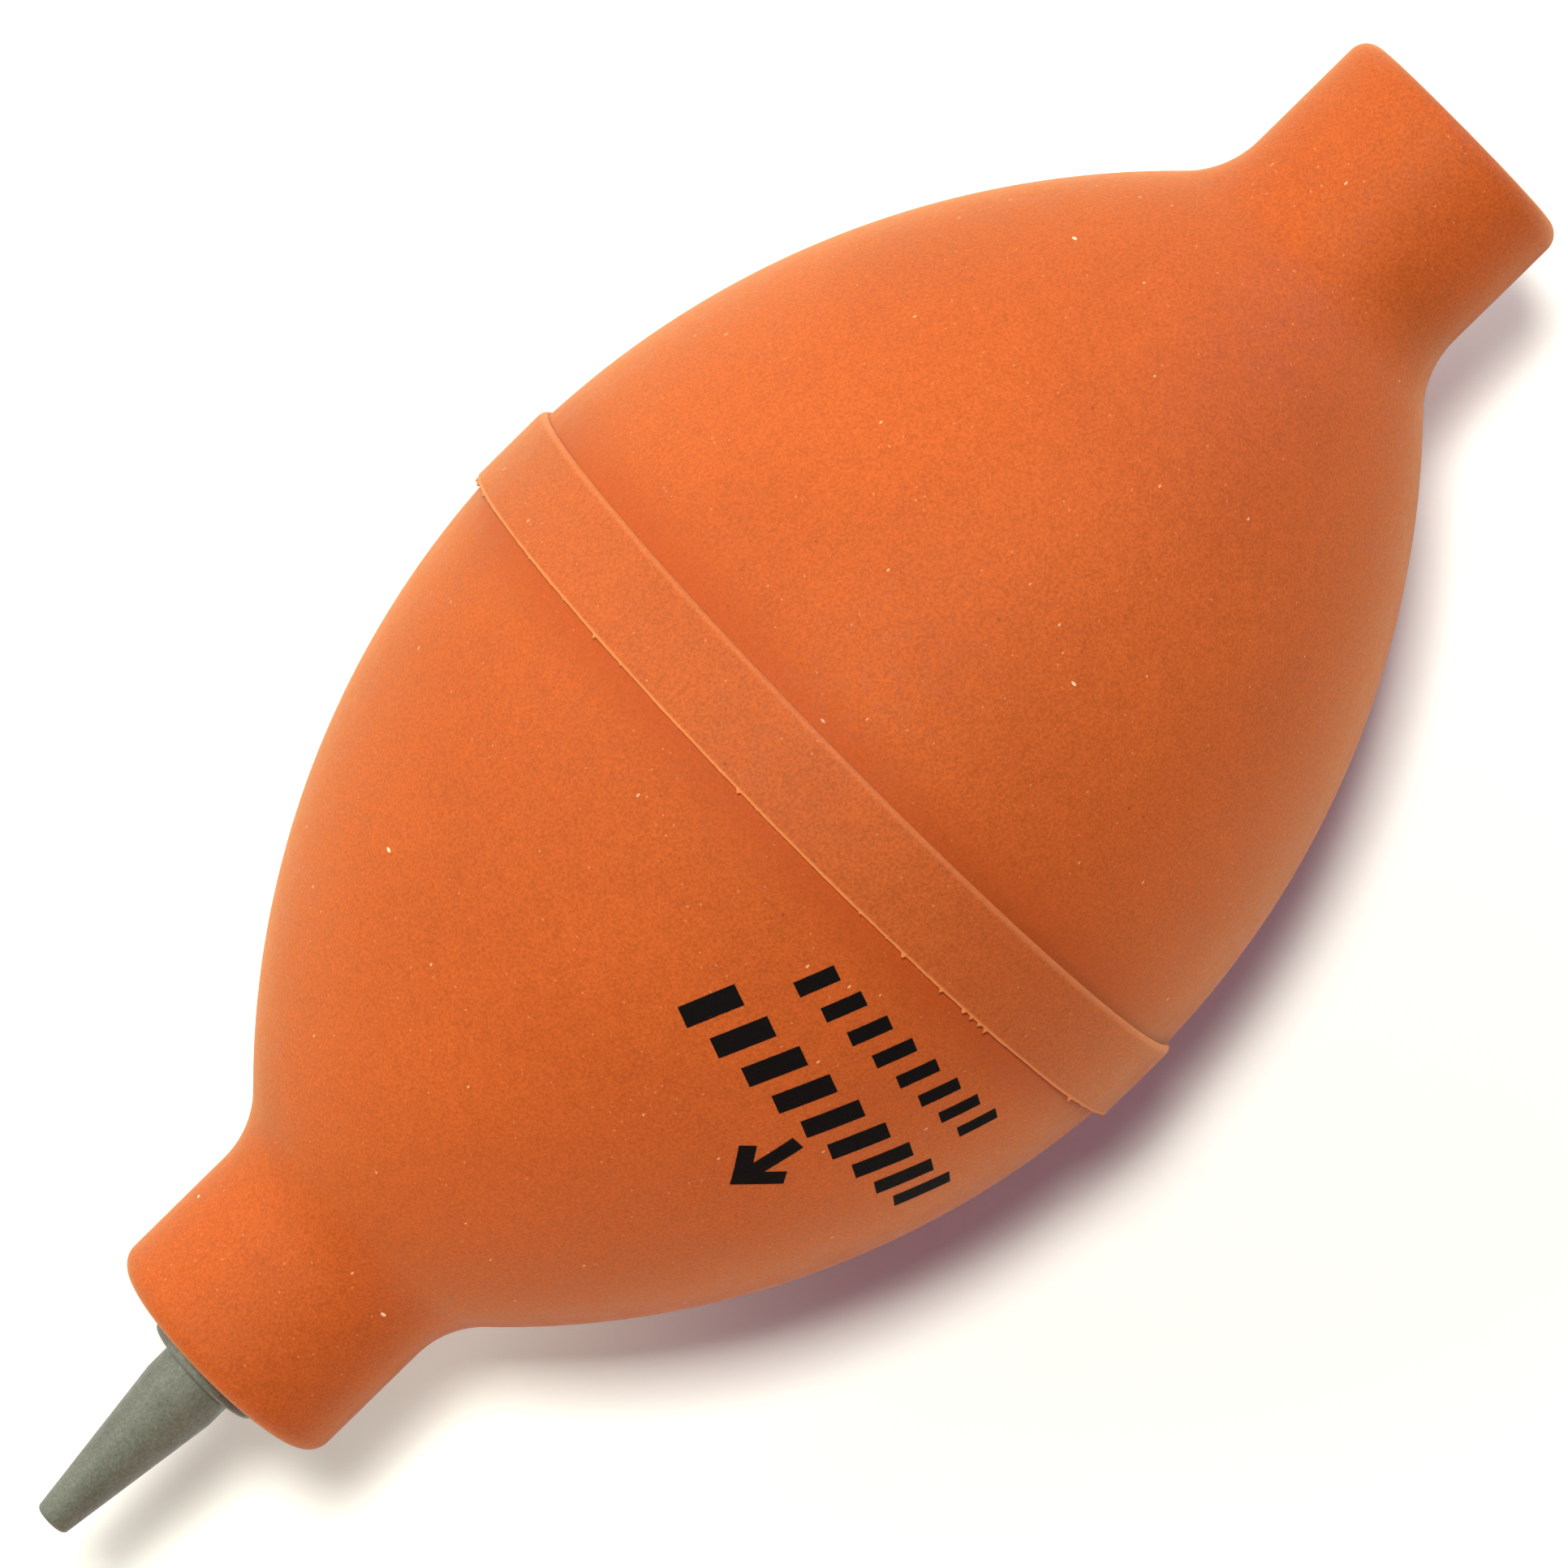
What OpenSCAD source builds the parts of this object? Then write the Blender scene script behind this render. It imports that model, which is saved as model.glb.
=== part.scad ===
// Hand-squeezed dust blower: a hollow rubber bulb with a blowing nozzle in its
// front neck and an air inlet valve in its rear neck. It lies on its side, so the
// bulb's axis runs along X (nozzle at -X, valve at +X), and the origin is the middle
// of the whole length on the surface that the blower lies on with its seam band.

/* [Bulb] */
// Length of the bulb from one neck face to the other
bulb_length = 98; // [97:0.1:102]
// Outside diameter of the bulb at its middle
bulb_d = 49.2; // [48:0.1:51]
// Radius of the long curve from the middle of the bulb to a neck
belly_arc_r = 51.7; // [50:0.1:53.5]
// Outside diameter of both necks
neck_d = 15.54; // [15:0.02:16.4]
// Radius of the hollow curve where the belly runs into a neck
neck_fillet_r = 5.8; // [5:0.1:6.4]
// Radius of the rounded edge round a neck face
neck_edge_r = 1.2; // [0.6:0.1:1.8]
// Thickness of the rubber wall
wall = 2.2; // [1.6:0.1:2.4]

/* [Seam band] */
// Width of the band that covers the joint of the two halves
band_width = 5.2; // [4:0.1:8]
// How far the band stands out from the bulb at its middle
band_height = 0.4; // [0.35:0.05:1]
// How far the band's middle lies in front of the joint
band_offset = 0.7; // [0:0.1:1.5]
// Depth of the flat where the soft band lies on a table
rest_flat = 0.12; // [0.1:0.01:0.2]

/* [Squeeze] */
// Length of the patch of wall that a finger pushes in
press_length = 46; // [36:1:50]
// Width of the patch of wall that a finger pushes in
press_width = 28; // [20:1:32]
// Gap between the moving patch and the wall round it
press_gap = 0.3; // [0.25:0.05:0.5]

/* [Nozzle] */
// How far the nozzle's tip stands out from the front neck
nozzle_reach = 13.25; // [11:0.05:18]
// Diameter of the nozzle's flange
flange_d = 7.5; // [6.6:0.1:9]
// Thickness of the nozzle's flange
flange_height = 1.1; // [0.8:0.1:1.6]
// Diameter of the nozzle where it leaves its flange
nozzle_root_d = 4.8; // [4:0.1:5.2]
// Length of the straight part between flange and taper
nozzle_root_length = 1.95; // [1:0.05:3]
// Outside diameter of the nozzle's tip
nozzle_tip_d = 2.15; // [1.9:0.05:2.6]
// Diameter of the air jet's hole in the tip
jet_d = 1.1; // [0.8:0.1:1.3]
// Diameter of the stem that sits in the front neck
stem_d = 5.2; // [4.6:0.1:6]
// Length of the stem inside the front neck
stem_length = 9; // [9:0.5:12]

/* [Inlet valve] */
// Outside diameter of the valve's housing
housing_d = 9; // [8.4:0.1:9.6]
// How far the housing stands out of the neck's bore into the bulb
housing_overhang = 2.45; // [2:0.05:4]
// How deep the housing sits below the rear neck's face
housing_recess = 0.8; // [0.4:0.1:1.2]
// Inside diameter of the housing
chamber_d = 7.2; // [6.8:0.1:7.6]
// Diameter of the hole that lets air in
inlet_d = 4; // [3:0.1:4.6]
// How far the valve lifts off its seat
valve_lift = 1.2; // [0.8:0.1:1.4]

/* [Hidden] */
$fn = 128;

rubber_orange = "#d2693a";
band_orange = "#cf6c45";
plastic_grey = "#7c7f72";
seal_black = "#2b2b2b";
spring_steel = "#b9bcc0";
overshoot = 1; // how far a cutting tool runs past the solid that it cuts

// Bulb outline: the belly arc and the hollow arc touch at belly_angle.
bulb_r = bulb_d / 2;
neck_r = neck_d / 2;
half_length = bulb_length / 2;
belly_centre = [bulb_r - belly_arc_r, 0];
fillet_centre_r = neck_r + neck_fillet_r;
belly_angle = acos((fillet_centre_r - belly_centre[0]) / (belly_arc_r + neck_fillet_r));
fillet_centre = [fillet_centre_r, (belly_arc_r + neck_fillet_r) * sin(belly_angle)];
belly_steps = 24;
fillet_steps = 10;
edge_steps = 5;

// Where the bulb's axis and middle lie, seen from the origin
band_r = bulb_r + band_height;
axis_height = band_r - rest_flat;
middle_x = nozzle_reach / 2;

// Bores of the two necks
front_bore_d = stem_d;
rear_bore_d = housing_d;
grip_rib = 0.3; // how far a rib on an inserted part bites into the rubber
rib_length = 1.6;

// Points of an arc in a plane, from one angle to the other
function arc(centre, radius, from, to, steps) =
    [for (i = [0 : steps]) let (a = from + (to - from) * i / steps)
        centre + radius * [cos(a), sin(a)]];

// Local +Z looks out of the rear end or the front end of the bulb, with z = 0 in
// the bulb's middle plane.
module facing_rear() {
    translate([middle_x, 0, axis_height]) rotate([0, 90, 0]) children();
}

module facing_front() {
    translate([middle_x, 0, axis_height]) rotate([0, -90, 0]) children();
}

// ---- Bulb ----

// The full half of a bulb, from the middle plane at z = 0 to the neck's face
module half_bulb(bore_d) {
    edge_centre = [neck_r - neck_edge_r, half_length - neck_edge_r];
    outside = concat(
        arc(belly_centre, belly_arc_r, 0, belly_angle, belly_steps),
        arc(fillet_centre, neck_fillet_r, 180 + belly_angle, 180, fillet_steps),
        arc(edge_centre, neck_edge_r, 0, 90, edge_steps));
    inside = concat(
        [[bore_d / 2, half_length], [bore_d / 2, fillet_centre[1]]],
        arc(fillet_centre, neck_fillet_r + wall, 180, 180 + belly_angle, fillet_steps),
        arc(belly_centre, belly_arc_r - wall, belly_angle, 0, belly_steps));
    rotate_extrude() polygon(concat(outside, inside));
}

// Upright column with the outline of the patch that a finger pushes in
module press_column(height, inset) {
    outline_steps = 36;
    half_size = [press_length / 2 - inset, press_width / 2 - inset];
    outline = [for (i = [0 : outline_steps - 1]) let (a = 360 * i / outline_steps)
        [half_size[0] * cos(a), half_size[1] * sin(a)]];
    translate([middle_x, 0, 0]) linear_extrude(height) polygon(outline);
}

module half_shell(bore_d) {
    difference() {
        half_bulb(bore_d);
        // the same column, seen from the half's own frame
        rotate([0, -90, 0]) translate([-middle_x, 0, -axis_height])
            translate([0, 0, -overshoot]) press_column(2 * (band_r + overshoot), 0);
    }
}

module front_half_shell() {
    color(rubber_orange) facing_front() half_shell(front_bore_d);
}

module rear_half_shell() {
    color(rubber_orange) facing_rear() half_shell(rear_bore_d);
}

// Ring glued over the joint; its inside follows the bulb, and it is flat at z = 0
module seam_band() {
    glue = 0.02;
    seat_steps = 6;
    front_angle = -asin((band_offset + band_width / 2) / belly_arc_r);
    rear_angle = asin((band_width / 2 - band_offset) / belly_arc_r);
    seat = arc(belly_centre, belly_arc_r + glue, front_angle, rear_angle, seat_steps);
    front_z = seat[0][1];
    rear_z = seat[seat_steps][1];
    color(band_orange) difference() {
        facing_rear() rotate_extrude()
            polygon(concat(seat, [[band_r, rear_z], [band_r, front_z]]));
        translate([middle_x - bulb_r, -bulb_r, -bulb_d]) cube(bulb_d);
    }
}

// The patch of wall that gives way under a finger, above the bulb's axis. It runs
// under the band with the same gap as round its edge.
module press_wall() {
    reach_angle = asin((press_length / 2 + overshoot) / belly_arc_r);
    skin = concat(
        arc(belly_centre, belly_arc_r, -reach_angle, reach_angle, belly_steps),
        arc(belly_centre, belly_arc_r - wall, reach_angle, -reach_angle, belly_steps));
    groove_width = band_width + 2 * press_gap;
    difference() {
        intersection() {
            facing_rear() rotate_extrude() polygon(skin);
            translate([0, 0, axis_height]) press_column(band_r, press_gap);
        }
        facing_rear() translate([0, 0, -band_offset]) difference() {
            cylinder(h = groove_width, r = bulb_r + overshoot, center = true);
            cylinder(h = groove_width + overshoot, r = bulb_r - press_gap, center = true);
        }
    }
}

module press_wall_top() {
    color(rubber_orange) press_wall();
}

module press_wall_bottom() {
    color(rubber_orange) translate([0, 0, 2 * axis_height]) mirror([0, 0, 1]) press_wall();
}

// ---- Nozzle ----

module blower_nozzle() {
    tip_r = nozzle_tip_d / 2;
    tip_edge = 0.2;
    jet_length = 4;
    stem_bore_d = 2.8;
    rib_places = [-3.4, -7.2];
    taper_z = flange_height + nozzle_root_length;
    outside = [[stem_d / 2, 0], [flange_d / 2, 0], [flange_d / 2, flange_height],
               [nozzle_root_d / 2, flange_height], [nozzle_root_d / 2, taper_z],
               [tip_r, nozzle_reach - tip_edge],
               [tip_r - tip_edge, nozzle_reach], [0, nozzle_reach],
               [0, -stem_length], [stem_d / 2, -stem_length]];
    color(plastic_grey) facing_front() translate([0, 0, half_length]) difference() {
        union() {
            rotate_extrude() polygon(outside);
            for (z = rib_places)
                translate([0, 0, z - rib_length])
                    cylinder(h = rib_length, d1 = stem_d, d2 = stem_d + 2 * grip_rib);
        }
        translate([0, 0, nozzle_reach - jet_length])
            cylinder(h = jet_length + overshoot, d = jet_d);
        translate([0, 0, -stem_length])
            cylinder(h = nozzle_reach + stem_length - jet_length, d1 = stem_bore_d, d2 = jet_d);
        translate([0, 0, -stem_length - overshoot])
            cylinder(h = overshoot, d = stem_bore_d);
    }
}

// ---- Inlet valve ----

// Stations along the valve, measured from the rear neck's face inwards
inlet_wall = 1.2;
seat_height = 0.8;
seat_gap = 0.03;
poppet_height = 0.8;
retainer_height = 1.5;
inlet_z = -housing_recess - inlet_wall;
seat_z = inlet_z - seat_height;
poppet_z = seat_z - seat_gap - poppet_height;
shoulder_z = fillet_centre[1] - half_length;
housing_end_z = shoulder_z - housing_overhang;
retainer_top_z = housing_end_z + retainer_height;
poppet_d = 5.8;
poppet_stem_d = 1.4;
guide_clearance = 0.05;

module in_rear_neck() {
    facing_rear() translate([0, 0, half_length]) children();
}

module valve_housing() {
    lip_height = 1.2;
    lip_overlap = 0.7;
    lip_d = housing_d + 2 * lip_overlap;
    lip_gap = 0.05;
    housing_length = -housing_recess - housing_end_z;
    rib_places = [-3.6, -6.6];
    color(plastic_grey) in_rear_neck() difference() {
        union() {
            translate([0, 0, housing_end_z]) cylinder(h = housing_length, d = housing_d);
            translate([0, 0, shoulder_z - lip_height - lip_gap])
                cylinder(h = lip_height, d = lip_d);
            for (z = rib_places)
                translate([0, 0, z])
                    cylinder(h = rib_length, d1 = housing_d, d2 = housing_d + 2 * grip_rib);
        }
        translate([0, 0, housing_end_z - overshoot])
            cylinder(h = inlet_z - housing_end_z + overshoot, d = chamber_d);
        translate([0, 0, inlet_z - overshoot])
            cylinder(h = inlet_wall + 2 * overshoot, d = inlet_d);
    }
}

// Soft washer that the poppet closes on
module valve_seat_ring() {
    color(seal_black) in_rear_neck() translate([0, 0, seat_z]) difference() {
        cylinder(h = seat_height, d = chamber_d);
        translate([0, 0, -overshoot]) cylinder(h = seat_height + 2 * overshoot, d = inlet_d);
    }
}

// Disc with a guide stem; suction in the bulb pulls it off the seat
module valve_poppet() {
    stem_overhang = 0.4;
    stem_end_z = housing_end_z - stem_overhang;
    color("ivory") in_rear_neck() {
        translate([0, 0, poppet_z]) cylinder(h = poppet_height, d = poppet_d);
        translate([0, 0, stem_end_z]) cylinder(h = poppet_z - stem_end_z, d = poppet_stem_d);
    }
}

// Spider pressed into the housing's inner end: it guides the stem and holds the spring
module valve_retainer() {
    rim_width = 0.7;
    hub_d = 3.6;
    spokes = 3;
    spoke_width = 0.9;
    color(plastic_grey) in_rear_neck() translate([0, 0, housing_end_z]) difference() {
        union() {
            difference() {
                cylinder(h = retainer_height, d = chamber_d);
                translate([0, 0, -overshoot])
                    cylinder(h = retainer_height + 2 * overshoot, d = chamber_d - 2 * rim_width);
            }
            cylinder(h = retainer_height, d = hub_d);
            for (i = [0 : spokes - 1])
                rotate([0, 0, 360 * i / spokes]) translate([0, -spoke_width / 2, 0])
                    cube([(chamber_d - rim_width) / 2, spoke_width, retainer_height]);
        }
        translate([0, 0, -overshoot])
            cylinder(h = retainer_height + 2 * overshoot,
                     d = poppet_stem_d + 2 * guide_clearance);
    }
}

// Light coil between retainer and poppet, with closed ends
module valve_spring() {
    wire_d = 0.35;
    coil_r = 1.3;
    tightest_pitch = 1.6 * wire_d; // of the coil when the valve is fully open
    closed_turns = 0.75; // at each end, where the coil lies nearly flat
    closed_pitch = 1.1 * wire_d;
    steps_per_turn = 18;
    sides = 8;
    end_clearance = 0.03;
    low = retainer_top_z + wire_d / 2 + end_clearance;
    high = poppet_z - wire_d / 2 - end_clearance;
    turns = max(3, floor((high - low - valve_lift) / tightest_pitch));
    open_turns = turns - 2 * closed_turns;
    steps = turns * steps_per_turn;
    closed_rise = closed_turns * closed_pitch;
    open_rise = high - low - 2 * closed_rise;
    function height_at(t) =
        t < closed_turns ? closed_rise * t / closed_turns :
        t < turns - closed_turns ? closed_rise + open_rise * (t - closed_turns) / open_turns :
        closed_rise + open_rise + closed_rise * (t - turns + closed_turns) / closed_turns;
    points = [for (i = [0 : steps]) let (t = i / steps_per_turn, a = 360 * t)
        for (j = [0 : sides - 1]) let (b = 360 * j / sides, r = coil_r + wire_d / 2 * cos(b))
            [r * cos(a), r * sin(a), low + height_at(t) + wire_d / 2 * sin(b)]];
    walls = [for (i = [0 : steps - 1]) for (j = [0 : sides - 1])
        let (k = (j + 1) % sides)
            [i * sides + j, i * sides + k, (i + 1) * sides + k, (i + 1) * sides + j]];
    first_end = [for (j = [0 : sides - 1]) sides - 1 - j];
    last_end = [for (j = [0 : sides - 1]) steps * sides + j];
    color(spring_steel) in_rear_neck()
        polyhedron(points, concat([first_end], walls, [last_end]), convexity = 10);
}

front_half_shell();
rear_half_shell();
seam_band();
press_wall_top();
press_wall_bottom();
blower_nozzle();
valve_housing();
valve_seat_ring();
valve_poppet();
valve_spring();
valve_retainer();
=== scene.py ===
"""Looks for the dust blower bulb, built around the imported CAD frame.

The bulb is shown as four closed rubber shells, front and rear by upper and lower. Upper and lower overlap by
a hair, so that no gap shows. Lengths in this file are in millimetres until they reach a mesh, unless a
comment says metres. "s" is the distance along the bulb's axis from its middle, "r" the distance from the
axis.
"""

import math

import bmesh
import bpy
import numpy as np
from mathutils import Euler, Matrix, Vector, noise


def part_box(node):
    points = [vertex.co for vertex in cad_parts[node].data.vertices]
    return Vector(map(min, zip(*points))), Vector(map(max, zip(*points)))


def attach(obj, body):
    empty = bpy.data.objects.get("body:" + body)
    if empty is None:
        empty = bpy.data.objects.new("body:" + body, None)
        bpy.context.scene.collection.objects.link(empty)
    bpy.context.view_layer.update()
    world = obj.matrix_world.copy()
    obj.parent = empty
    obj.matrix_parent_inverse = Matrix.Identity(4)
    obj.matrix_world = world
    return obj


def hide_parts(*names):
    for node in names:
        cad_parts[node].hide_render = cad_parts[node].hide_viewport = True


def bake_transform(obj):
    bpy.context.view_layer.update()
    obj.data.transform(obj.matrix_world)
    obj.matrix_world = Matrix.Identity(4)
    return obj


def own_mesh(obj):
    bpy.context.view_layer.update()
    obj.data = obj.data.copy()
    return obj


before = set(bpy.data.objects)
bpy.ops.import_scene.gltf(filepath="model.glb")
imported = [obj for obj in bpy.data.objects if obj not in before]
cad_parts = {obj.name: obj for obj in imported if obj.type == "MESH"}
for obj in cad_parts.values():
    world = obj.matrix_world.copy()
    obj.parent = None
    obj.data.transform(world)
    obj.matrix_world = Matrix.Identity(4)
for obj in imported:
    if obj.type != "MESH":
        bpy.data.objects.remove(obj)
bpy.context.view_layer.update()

MM = 0.001
SEED = 4


# ---------------------------------------------------------------- places, from the CAD

def span_mm(node, axis):
    low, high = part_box(node)
    return low[axis] / MM, high[axis] / MM


front_end_x, joint_x = span_mm("front_half_shell", 0)
rear_end_x = span_mm("rear_half_shell", 0)[1]
band_front_x, band_rear_x = span_mm("seam_band", 0)
band_high_z = span_mm("seam_band", 2)[1]
band_r = span_mm("seam_band", 1)[1]
nozzle_tip_x, stem_end_x = span_mm("blower_nozzle", 0)
housing_end_x, housing_face_x = span_mm("valve_housing", 0)
seat_ring_x = span_mm("valve_seat_ring", 0)
poppet_end_x, poppet_face_x = span_mm("valve_poppet", 0)
spring_x = span_mm("valve_spring", 0)

axis_z = band_high_z - band_r
half_length = rear_end_x - joint_x
band_middle_x = (band_front_x + band_rear_x) / 2
band_half_width = (band_rear_x - band_front_x) / 2

# the bulb's outline, as in the CAD
BULB_R = 24.6
BELLY_ARC_R = 51.7
NECK_R = 7.77
NECK_FILLET_R = 5.8
NECK_EDGE_R = 1.2
WALL = 2.2
NOZZLE_BORE_R = 2.6
VALVE_BORE_R = 4.5
BORE_EDGE_R = 0.35

BELLY_CENTRE_R = BULB_R - BELLY_ARC_R
FILLET_CENTRE_R = NECK_R + NECK_FILLET_R
BELLY_ANGLE = math.acos((FILLET_CENTRE_R - BELLY_CENTRE_R) / (BELLY_ARC_R + NECK_FILLET_R))
FILLET_S = (BELLY_ARC_R + NECK_FILLET_R) * math.sin(BELLY_ANGLE)


def bulb_surface(s):
    """Radius of the bulb's outside at s, and its outward normal as (along the axis, away from the axis)."""
    t = abs(s)
    side = 1.0 if s >= 0 else -1.0
    if t < BELLY_ARC_R * math.sin(BELLY_ANGLE):
        rise = math.sqrt(BELLY_ARC_R ** 2 - t ** 2)
        return BELLY_CENTRE_R + rise, (side * t / BELLY_ARC_R, rise / BELLY_ARC_R)
    if t < FILLET_S:
        drop = math.sqrt(NECK_FILLET_R ** 2 - (FILLET_S - t) ** 2)
        return FILLET_CENTRE_R - drop, (side * (FILLET_S - t) / NECK_FILLET_R, drop / NECK_FILLET_R)
    return NECK_R, (0.0, 1.0)


# ---------------------------------------------------------------- turned shapes

def arc(centre, radius, first, last, step, hollow=False):
    """Points of a profile, as (s, r, normal s, normal r): an arc about centre, angles from the r axis."""
    turns = -1.0 if hollow else 1.0
    count = max(2, math.ceil(abs(last - first) * radius / step))
    points = []
    for i in range(count + 1):
        a = first + (last - first) * i / count
        sin_a, cos_a = math.sin(a), math.cos(a)
        points.append((centre[0] + radius * sin_a, centre[1] + radius * cos_a, turns * sin_a, turns * cos_a))
    return points


def line(start, end, step=None):
    """A straight section from start to end. The material lies to the right of the way it runs."""
    length = math.dist(start, end)
    along = ((end[0] - start[0]) / length, (end[1] - start[1]) / length)
    count = 1 if step is None else max(1, math.ceil(length / step))
    return [(start[0] + (end[0] - start[0]) * i / count, start[1] + (end[1] - start[1]) * i / count,
             -along[1], along[0]) for i in range(count + 1)]


def rounded(corners, radii, step=0.06):
    """Sections of a polygon (s, r) whose corners are rounded. It runs with its material on the right."""
    sections = []
    count = len(corners)
    cuts = []
    for i in range(count):
        before, here, after = (Vector(corners[(i + k) % count]) for k in (-1, 0, 1))
        into, out = (here - before).normalized(), (after - here).normalized()
        turn = math.atan2(into.x * out.y - into.y * out.x, into.dot(out))
        radius = radii[i]
        if radius == 0 or abs(turn) < 1e-6:
            cuts.append((here, here, None))
            continue
        back = radius * math.tan(abs(turn) / 2)
        start, end = here - into * back, here + out * back
        side = -1.0 if turn < 0 else 1.0
        centre = start + Vector((-into.y, into.x)) * radius * side
        steps = max(2, math.ceil(radius * abs(turn) / step))
        points = []
        first = start - centre
        for k in range(steps + 1):
            a = turn * k / steps
            spoke = Vector((first.x * math.cos(a) - first.y * math.sin(a),
                            first.x * math.sin(a) + first.y * math.cos(a)))
            normal = spoke.normalized() * (-side)
            points.append((centre.x + spoke.x, centre.y + spoke.y, normal.x, normal.y))
        cuts.append((start, end, points))
    for i in range(count):
        if cuts[i][2]:
            sections.append(cuts[i][2])
        start, end = cuts[i][1], cuts[(i + 1) % count][0]
        if (end - start).length > 1e-6:
            sections.append(line(tuple(start), tuple(end)))
    return sections


def lathe(name, sections, origin_x, toward, turn=(0.0, 2 * math.pi), steps=128, caps=(), nudge=None,
          solid=False):
    """A closed mesh turned about the bulb's axis from a closed profile, with the profile's exact normals.

    origin_x is where s = 0 lies and toward is +1 or -1, the way s runs along X. A turn short of a full circle
    gets flat ends, made of caps: lists of places in the profile. nudge(angle, points) may move the profile's
    points at that angle of the turn; the mesh then takes smooth normals of its own. A solid's profile isn't
    closed: discs close its first and last rings. What would reach below the floor is flattened there.
    """
    profile, corners = [], []
    for section in sections:
        for i, point in enumerate(section[:-1]):
            corners.append((point[2:], section[i + 1][2:]))
            profile.append(point[:2])
    if solid:
        profile.append(sections[-1][-1][:2])
    profile = np.array(profile)
    corners = np.array(corners)
    width = len(profile)
    full = math.isclose(turn[1] - turn[0], 2 * math.pi)
    rings = steps if full else steps + 1
    angles = turn[0] + (turn[1] - turn[0]) * np.arange(rings) / steps
    points = np.repeat(profile[None], rings, axis=0)
    if nudge is not None:
        points = np.array([nudge(angle, ring) for angle, ring in zip(angles, points)])
    x = origin_x + toward * points[:, :, 0]
    y = points[:, :, 1] * np.cos(angles)[:, None]
    z = np.maximum(axis_z + points[:, :, 1] * np.sin(angles)[:, None], 0.0)
    verts = np.stack([x, y, z], axis=2).reshape(-1, 3)
    j, k = np.meshgrid(np.arange(steps), np.arange(len(corners)), indexing="ij")
    j, k = j.ravel(), k.ravel()
    following, beside = (j + 1) % rings, (k + 1) % width
    here, there = j * width, following * width
    faces = np.stack([here + k, there + k, there + beside, here + beside], axis=1)

    def normals(at, corner):
        along, away = corner[:, 0], corner[:, 1]
        return np.stack([toward * along, away * np.cos(angles[at]), away * np.sin(angles[at])], axis=1)

    loop_normals = np.stack([normals(j, corners[k, 0]), normals(following, corners[k, 0]),
                             normals(following, corners[k, 1]), normals(j, corners[k, 1])], axis=1)
    if toward < 0:
        faces = faces[:, ::-1]
        loop_normals = loop_normals[:, ::-1]
    faces = [list(map(int, f)) for f in faces]
    first_flat = len(faces)
    loop_normals = [tuple(n) for quad in loop_normals for n in quad]
    for ring, outward in ((0, 1), (rings - 1, -1)):
        for cap in caps:
            across = [ring * width + p for p in cap]
            a = angles[ring]
            if outward * toward > 0:
                across.reverse()
            normal = (0.0, outward * math.sin(a), -outward * math.cos(a))
            faces.append(across)
            loop_normals.extend([normal] * len(across))
    if solid:
        for place, outward in ((0, -1), (width - 1, 1)):
            disc = [ring * width + place for ring in range(rings)]
            if outward * toward < 0:
                disc.reverse()
            faces.append(disc)
            loop_normals.extend([(outward * toward, 0.0, 0.0)] * rings)
    mesh = bpy.data.meshes.new(name)
    mesh.from_pydata((verts * MM).tolist(), [], faces)
    mesh.shade_smooth()
    for face in mesh.polygons[first_flat:]:
        face.use_smooth = False
    if nudge is None:
        mesh.normals_split_custom_set(loop_normals)
    return add_piece(name, mesh)


def add_piece(name, mesh):
    """A new object of that mesh. Each point's place at rest is stored in millimetres for the materials."""
    places = np.zeros(len(mesh.vertices) * 3, np.float32)
    mesh.vertices.foreach_get("co", places)
    stored = mesh.attributes.new("rest_mm", "FLOAT_VECTOR", "POINT")
    stored.data.foreach_set("vector", places / MM)
    piece = bpy.data.objects.new(name, mesh)
    bpy.context.scene.collection.objects.link(piece)
    return piece


# ---------------------------------------------------------------- materials

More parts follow.
